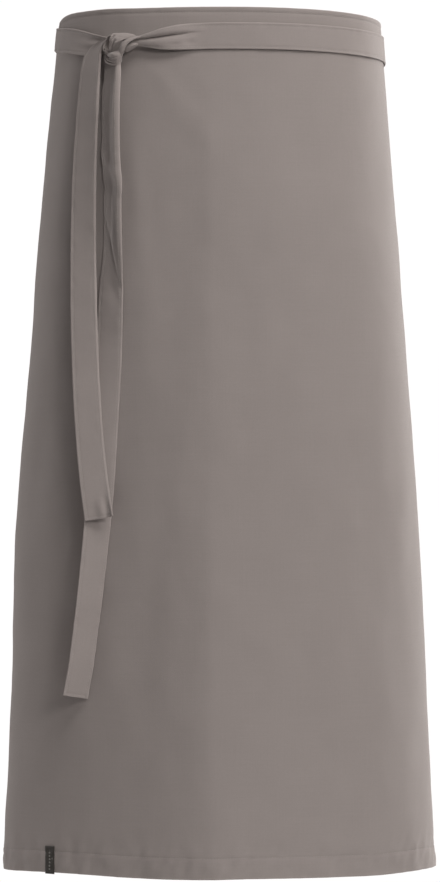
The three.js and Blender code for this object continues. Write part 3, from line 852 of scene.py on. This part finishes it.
def tail_middle(table, length, top, fall, share, bend):
    """Middle surface of a hanging end. bend(fall, share) gives its curl, as (out, down)."""
    middle = np.zeros(fall.shape + (3,))
    out_way = np.zeros(fall.shape + (3,))
    curl_out, curl_down = bend(fall, share)
    line = fall[:, 0]
    aside, turns, lift, wide, fold = (
        read(table, column, line) for column in ("aside", "turn", "lift", "wide", "fold")
    )
    aside = KNOT_X + TIE_WIDTH * aside
    lean = np.clip(np.arctan(np.gradient(aside, line * length)), -MAX_LEAN, MAX_LEAN)
    for i, place in enumerate(line):
        turn = math.radians(turns[i])
        along = share[i] * TIE_WIDTH / 2 * wide[i]
        angle = turn + fold[i] * folded_turn((share[i, 1:] + share[i, :-1]) / 2)
        run = np.concatenate([[0], np.cumsum(np.diff(along) * np.cos(angle))])
        rise = np.concatenate([[0], np.cumsum(np.diff(along) * np.sin(angle))])
        x = aside[i] + (run - run[-1] / 2) * math.cos(lean[i]) - curl_out[i] * math.sin(turn)
        y = -rise - curl_out[i] * math.cos(turn)
        z = top - place * length + along * math.sin(lean[i]) - curl_down[i]
        rest = np.min(panel_depth(x, top - place * length) - (y + curl_out[i] * math.cos(turn)))
        y += rest - CLEARANCE - LAYER * lift[i] - TIE_THICKNESS / 2
        middle[i] = np.stack([x, y, z], 1)
        out_way[i] = (-math.sin(turn), -math.cos(turn), 0)
    return middle, out_way


def hanging_tail(name, table, length, top, tuck, seed, bend):
    """A strap hanging from the knot, which starts a little inside it, higher by tuck."""
    long_run = np.linspace(0, 1 - TAIL_TIP / length, round(length / STRAP_STEP))
    lead = np.linspace(-tuck / length, 0, 5)[:-1] if tuck else []
    line = np.concatenate([lead, long_run, 1 - np.array(TAIL_TIP_ROWS) * MM / length])
    share, fall = np.meshgrid(ACROSS, line)
    middle, out_way = tail_middle(table, length, top, fall, share, bend)
    normal = grid_normals(middle, out_way)
    return strap_object(name, middle, normal, share, fall * length, seed, (False, True))


# Stitching


def tube_faces(count, sides):
    """Faces of a closed tube of so many rings of points: its two ends and then its wall."""
    last = (count - 1) * sides
    faces = [tuple(range(sides))[::-1], tuple(range(last, last + sides))]
    for ring in range(count - 1):
        for k in range(sides):
            a, b = ring * sides + k, ring * sides + (k + 1) % sides
            faces.append((a, b, b + sides, a + sides))
    return faces


def stitch_shape():
    """A stitch along x, of unit length and radius: a short round rod with tapered ends."""
    rings = ((-0.5, 0.25), (-0.32, 1.0), (0.32, 1.0), (0.5, 0.25))
    turns = [2 * math.pi * k / STITCH_SIDES for k in range(STITCH_SIDES)]
    points = [(x, r * math.cos(turn), r * math.sin(turn)) for x, r in rings for turn in turns]
    return np.array(points), tube_faces(len(rings), STITCH_SIDES)


def on_line(values, arcs, places):
    """A line's points or normals at distances along it."""
    return np.stack([np.interp(places, arcs, values[:, k]) for k in range(3)], 1)


def stitched(name, lines, slot):
    """Many stitches as one mesh. Each line is (points, normals) on the face that it is sewn through."""
    shape, shape_faces = stitch_shape()
    points, faces, cloth = [], [], []
    for line, normals in lines:
        gaps = np.linalg.norm(np.diff(line, axis=0), axis=1)
        arcs = np.concatenate([[0], np.cumsum(gaps)])
        spots = (np.arange(int(arcs[-1] / STITCH_PITCH)) + 0.5) * STITCH_PITCH
        centre = on_line(line, arcs, spots)
        tips = [on_line(line, arcs, spots + end * STITCH_LENGTH) for end in (-0.5, 0.5)]
        ahead = unit(tips[1] - tips[0])
        side = unit(np.cross(unit(on_line(normals, arcs, spots)), ahead))
        up = np.cross(ahead, side)
        for k, spot in enumerate(spots):
            base = len(points) * len(shape)
            rod = np.outer(shape[:, 0] * STITCH_LENGTH, ahead[k])
            rod += np.outer(shape[:, 1] * STITCH_RADIUS * STITCH_FLATNESS, side[k])
            rod += np.outer(shape[:, 2] * STITCH_RADIUS, up[k])
            points.append(centre[k] + up[k] * STITCH_RISE + rod)
            faces.extend(tuple(base + i for i in face) for face in shape_faces)
            cloth.append(np.stack([shape[:, 0] * STITCH_LENGTH + spot, shape[:, 1] * MM, 0 * shape[:, 0]], 1))
    piece = new_piece(name, np.concatenate(points), faces, np.concatenate(cloth), THREAD)
    finish_piece(piece, slot)


def outward_normals(face):
    """Unit normals of a grid of points, away from the middle of the body."""
    return grid_normals(face, face * np.array([1, 1, 0]) + np.array([0, -1e-6, 0]))


def between_rows(grid, places, place):
    """The grid's line at a place, where places gives the place of each of its rows."""
    row = np.interp(place, places, np.arange(len(places)))
    low, part = int(row), row % 1
    return grid[low] * (1 - part) + grid[low + 1] * part


def strap_stitch_lines(face):
    """The two rows of stitches along a strap's edges, from its face grid."""
    grids = [grid.swapaxes(0, 1) for grid in (face, outward_normals(face))]
    share = 1 - STITCH_INSET / (TIE_WIDTH / 2)
    return [[between_rows(grid, ACROSS, place) for grid in grids] for place in (-share, share)]


def panel_stitch_lines(distance, share, face):
    """The rows of stitches along the panel's four hems, from its face grid."""
    grids = [face, outward_normals(face)]
    drops = (TOP_HEM / APRON_LENGTH, (APRON_LENGTH - BOTTOM_HEM) / APRON_LENGTH)
    lines = [[between_rows(grid[:, 1:-1], share, drop) for grid in grids] for drop in drops]
    for side in (SIDE_HEM - HALF_CUT, HALF_CUT - SIDE_HEM):
        lines.append([between_rows(grid[1:-1].swapaxes(0, 1), distance, side) for grid in grids])
    return lines


# Folds and curls of the straps


def right_gather(along, share):
    """Folds of the right-hand tie as it narrows into the knot: a roll along the top, a hollow under it."""
    grown = ramp(along, 0.872, 0.066)
    grown = grown * grown * (3 - 2 * grown)
    close = ramp(along, 0.945, 0.045)
    crease = 0.36 + 0.24 * close
    above = np.clip((share - crease) / (1 - crease), 0, 1)
    below = np.clip((crease - share) / (1 + crease), 0, 1)
    roll = 1.0 + 2.8 * np.sqrt(np.clip(1 - (2 * above - 1) ** 2, 0, 1))
    hollow = -3.4 * np.exp(-below / 0.20) + 2.6 * np.sin(math.pi * below**0.75)
    shape = np.where(share > crease, roll, hollow) * (1 - 0.55 * close)
    dimples = bump(along - 0.918, 0.006) * bump(share + 0.55, 0.16)
    dimples += bump(along - 0.896, 0.006) * bump(share + 0.45, 0.16)
    return (3.2 + shape) * MM * grown - 0.9 * MM * dimples


def left_gather(along, share):
    """Shallow lengthwise folds of the left-hand tie where it goes under the knot."""
    return (0.8 + 0.8 * np.cos(share * 7.0)) * MM * ramp(along, 0.86, 0.12) ** 2


def short_bend(fall, share):
    """The short end's rolled right edge, and its last stretch, where the corner curls forward."""
    near = ramp(fall, 0.90, 0.10)
    corner = near**2 * ramp(share, 0.1, 0.9) ** 2
    pucker = bump(share - 0.25, 0.22) * bump(1 - fall - 0.018, 0.014)
    out = 7.0 * MM * corner + 2.2 * MM * pucker - 1.4 * MM * bump(share - 0.62, 0.16) * near**2
    hollowed = 1.6 * MM * np.clip(share + 0.2, 0, 1) ** 2 * np.clip(1 - fall / 0.5, 0, 1)
    rolled = 1.9 * MM * ramp(share, 0.86, 0.14) ** 1.5
    return out + (hollowed - rolled) * (1 - near), -1.5 * MM * corner


def long_bend(fall, share):
    """The long end's rolled right edge, its slanted creases, and the curl of its last stretch."""
    near = ramp(fall, 0.93, 0.07)
    crease = bump(fall - 0.33 - 0.05 * share, 0.022) + bump(fall - 0.30 - 0.06 * share, 0.008)
    slanted = 1.3 * MM * bump(fall - 0.165 - 0.03 * share, 0.009)
    rolled = 3.4 * MM * ramp(share, 0.74, 0.26) ** 1.4 * np.clip(1 - fall / 0.6, 0.35, 1)
    out = slanted - 1.7 * MM * crease * bump(share, 0.7) + 1.0 * MM * near * share**2
    return out - rolled * (1 - near), 0 * share


# The knot


def knot_place(right, up, out):
    """A place in the knot's own directions, in metres."""
    reach = out * TIE_WIDTH + LAYER
    x = KNOT_X - KNOT_NY * right * TIE_WIDTH + KNOT_NX * reach
    y = KNOT_Y + KNOT_NX * right * TIE_WIDTH + KNOT_NY * reach
    return np.stack([x, y, up * TIE_WIDTH - KNOT_DROP], -1)


def knot_fold(name, table, relief):
    """A strip of cloth between the two edges that the table gives. relief(place, share) is in tie widths."""
    share, place = np.meshgrid(np.linspace(0, 1, FOLD_COLUMNS), np.linspace(0, 1, FOLD_ROWS))
    near = knot_place(*(read(table, column, place) for column in ("right", "up", "out")))
    far = knot_place(*(read(table, column, place) for column in ("right2", "up2", "out2")))
    away = np.broadcast_to(np.array([KNOT_NX, KNOT_NY, 0]), near.shape)
    fine = Waves(KNOT_SEED, 20, 0.10, 0.30)(place, share * 0.4)
    reach = relief(place, share) * TIE_WIDTH + 0.10 * MM * fine
    middle = near + (far - near) * share[..., None] + away * reach[..., None]
    near_edge = np.minimum(share, 1 - share) * np.linalg.norm(far - near, axis=-1)
    half = FOLD_HALF * rounded_edge(near_edge, FOLD_HALF, 0.05)
    wall = grid_normals(middle, away) * half[..., None]
    # The third cloth value is a painted highlight along the fold's edges, at half strength
    cloth = np.stack([share * 20 * MM, place * 30 * MM, 0.5 * bump(near_edge, FOLD_HALF)], 2)
    return sheet_object(name, middle + wall, middle - wall, cloth, TIE_CLOTH)


def knot_roll(name, table, creases):
    """A rounded fold of cloth along the table's path, with lengthwise creases."""
    place = np.linspace(0, 1, ROLL_ROWS)
    path = knot_place(*(read(table, column, place) for column in ("right", "up", "out")))
    ahead = unit(np.gradient(path, axis=0))
    side = unit(np.cross(ahead, np.array([KNOT_NX, KNOT_NY, 0])))
    up = np.cross(side, ahead)
    half = read(table, "half", place) * TIE_WIDTH
    turn = np.linspace(0, 2 * math.pi, ROLL_SIDES, endpoint=False)
    ends = np.sqrt(np.clip(np.minimum(place, 1 - place) / 0.06, 0.02, 1))
    radius = (half * ends)[:, None] * (1 + creases(place[:, None], turn[None, :]))
    points = path[:, None, :] + side[:, None, :] * (radius * np.cos(turn))[..., None]
    points = points + up[:, None, :] * (radius * np.sin(turn))[..., None]
    turned_over = [(face[0], *face[:0:-1]) for face in tube_faces(ROLL_ROWS, ROLL_SIDES)]
    run, round_way = np.meshgrid(place * 30 * MM, turn * 4 * MM, indexing="ij")
    cloth = np.stack([round_way, run, 0 * run], 2)
    return new_piece(name, points.reshape(-1, 3), turned_over, cloth, TIE_CLOTH)


def wrap_relief(place, share):
    """Soft crown, with sharp pleats that gather towards the hollow."""
    late = ramp(place, 0.52, 0.22)
    crown = 0.05 * np.sin(math.pi * share)
    pleats = 0.07 * bump(share - 0.12, 0.07) - 0.12 * bump(share - 0.32, 0.06)
    pleats += 0.05 * bump(share - 0.50, 0.07) - 0.08 * bump(share - 0.72, 0.06)
    return crown + late * pleats


def cuff_relief(place, share):
    """Small folds that fan out along the lower edge, and a full lobe above and beyond them."""
    late = ramp(place, 0.34, 0.34)
    folds = 0.045 * (bump(share - 0.06, 0.05) + bump(share - 0.26, 0.06) + bump(share - 0.44, 0.05))
    grooves = bump(share - 0.16, 0.04) + bump(share - 0.35, 0.04) + 1.4 * bump(share - 0.52, 0.05)
    lobe = 0.12 * bump(share - 0.76 + 0.24 * late, 0.14 + 0.12 * late) * ramp(place, 0, 0.35)
    width = np.clip(place / 0.18, 0.35, 1)
    return (folds - 0.070 * grooves) * (1 - 0.85 * late) * width + lobe


def make_knot():
    """Folds of the two ties round each other, joined as one piece."""
    parts = [
        knot_fold("knot", TOP_WRAP, wrap_relief),
        knot_fold("knot_cuff", CUFF, cuff_relief),
        knot_fold("knot_loop", LOOP_INSIDE, lambda place, share: -0.05 * np.sin(math.pi * share)),
        knot_roll("knot_upper_roll", UPPER_ROLL, lambda place, turn: 0.10 * np.cos(2 * turn + 1)),
        knot_roll("knot_lower_roll", LOWER_ROLL, lambda place, turn: 0.12 * np.cos(3 * turn + 2 * place)),
        knot_roll("knot_side_lobe", SIDE_LOBE, lambda place, turn: 0.15 * np.cos(3 * turn)),
    ]
    with bpy.context.temp_override(active_object=parts[0], selected_editable_objects=parts):
        bpy.ops.object.join()
    finish_piece(parts[0], "tie_cloth", "knot")


# The label


def make_label():
    """The small woven tab that hangs on the bottom hem."""
    lines = np.linspace(1 - LABEL_HEIGHT / APRON_LENGTH, 1, 30)
    distance = LABEL_ARC + np.linspace(-0.5, 0.5, 15) * LABEL_WIDTH
    s, share = np.meshgrid(distance, lines)
    from_edge = LABEL_WIDTH / 2 - np.abs(s - LABEL_ARC)
    from_top = (share - lines[0]) * APRON_LENGTH
    from_bottom = (1 - share) * APRON_LENGTH
    near = np.minimum(np.minimum(from_edge, from_top), from_bottom)
    half = LABEL_HALF * rounded_edge(near, 0.35 * MM, 0.05)
    middle = LABEL_LIFT + 0.25 * MM * bump(from_bottom - 4 * MM, 4 * MM)
    middle += 0.12 * MM * Waves(LABEL_SEED, 12, 5 * MM, 14 * MM)(s, share)
    face = panel_points(distance, lines, middle + half)
    back = panel_points(distance, lines, middle - half)
    # The third cloth value is the painted highlight along the label's edges
    cloth = np.stack([s - LABEL_ARC, from_bottom, bump(near, 0.4 * MM)], 2)
    piece = sheet_object("label", face, back, cloth, LABEL)
    finish_piece(piece, "label_weave", "hem_label")


# Studio and camera


def make_lamp(name, place, size, power, colour):
    """A soft lamp turned towards the apron's middle."""
    data = bpy.data.lights.new(name, "AREA")
    data.shape = "RECTANGLE"
    data.size, data.size_y = size
    data.energy = power
    data.color = colour
    lamp = bpy.data.objects.new(name, data)
    lamp.location = place
    lamp.rotation_euler = (Vector(LIT_PLACE) - Vector(place)).to_track_quat("-Z", "Y").to_euler()
    bpy.context.collection.objects.link(lamp)


def make_studio():
    """Pale floor, soft keys from the right, rims from behind, a weak fill and white surroundings."""
    bpy.ops.mesh.primitive_circle_add(
        vertices=96, radius=FLOOR_RADIUS, fill_type="NGON", location=(0, 0, FLOOR_Z)
    )
    floor = bpy.context.object
    floor.name = "floor"
    n = Nodes("floor_paint")
    texture = n.tree.nodes.new("ShaderNodeTexCoord")
    mottle = n.spread(n.noise(texture.outputs["Object"], 6), 0.98, 1.02)
    n.put(n.shader.inputs["Base Color"], n.tint(FLOOR_COLOUR, mottle))
    n.shader.inputs["Roughness"].default_value = 0.8
    floor.data.materials.append(n.material)
    for lamp in LAMPS:
        make_lamp(*lamp)
    world = bpy.data.worlds.new("surroundings")
    world.use_nodes = True
    tree = world.node_tree
    background = tree.nodes["Background"]
    background.inputs["Color"].default_value = SURROUNDINGS
    path = tree.nodes.new("ShaderNodeLightPath")
    strength = tree.nodes.new("ShaderNodeMapRange")
    strength.inputs["To Min"].default_value = SURROUNDINGS_LIGHT
    strength.inputs["To Max"].default_value = SURROUNDINGS_SEEN
    tree.links.new(path.outputs["Is Camera Ray"], strength.inputs["Value"])
    tree.links.new(strength.outputs[0], background.inputs["Strength"])
    bpy.context.scene.world = world
    bpy.context.scene.view_settings.view_transform = "Standard"


def make_camera():
    """Camera about three metres in front, aimed so that the photograph's middle row is its own."""
    data = bpy.data.cameras.new("camera")
    data.sensor_width = SENSOR
    data.lens = SENSOR / (PHOTO_HEIGHT * PIXEL / CAMERA_DISTANCE)
    camera = bpy.data.objects.new("camera", data)
    camera.location = (0, -CAMERA_DISTANCE, CAMERA_Z)
    tilt = math.atan((AIM_ROW - PHOTO_HEIGHT / 2) * PIXEL / CAMERA_DISTANCE)
    camera.rotation_euler = (math.pi / 2 + tilt, 0, 0)
    bpy.context.collection.objects.link(camera)
    bpy.context.scene.camera = camera


# Build


make_camera()
make_studio()
panel, columns, shares, panel_face = make_panel()

right_start, right_end = AROUND - HALF_CUT + SEWN_LENGTH, KNOT_ARC + UNDER_KNOT
left_start, left_end = HALF_CUT - SEWN_LENGTH - AROUND, KNOT_ARC - UNDER_KNOT
tie_right, tie_right_face = round_tie(
    "right_tie", TIE_ROUND_RIGHT, right_start, right_end, RIGHT_TIE_SEED, right_gather
)
finish_piece(tie_right, "tie_cloth", "tie_round_right")
tie_left, tie_left_face = round_tie(
    "left_tie", TIE_ROUND_LEFT, left_start, left_end, LEFT_TIE_SEED, left_gather
)
finish_piece(tie_left, "tie_cloth", "tie_round_left")

make_knot()
short_piece, short_face = hanging_tail(
    "short_end", SHORT_TAIL_ROWS, SHORT_TAIL, SHORT_TOP, 0, SHORT_END_SEED, short_bend
)
finish_piece(short_piece, "tie_cloth", "short_tail")
long_piece, long_face = hanging_tail(
    "long_end", LONG_TAIL_ROWS, LONG_TAIL, LONG_TOP, LONG_TUCK, LONG_END_SEED, long_bend
)
finish_piece(long_piece, "tie_cloth", "long_tail")
make_label()

strap_lines = []
for strap_face in (tie_right_face, tie_left_face, short_face, long_face):
    strap_lines += strap_stitch_lines(strap_face)
stitched("tie_stitching", strap_lines, "tie_cloth")
stitched("hem_stitching", panel_stitch_lines(columns, shares, panel_face), "panel_cloth")
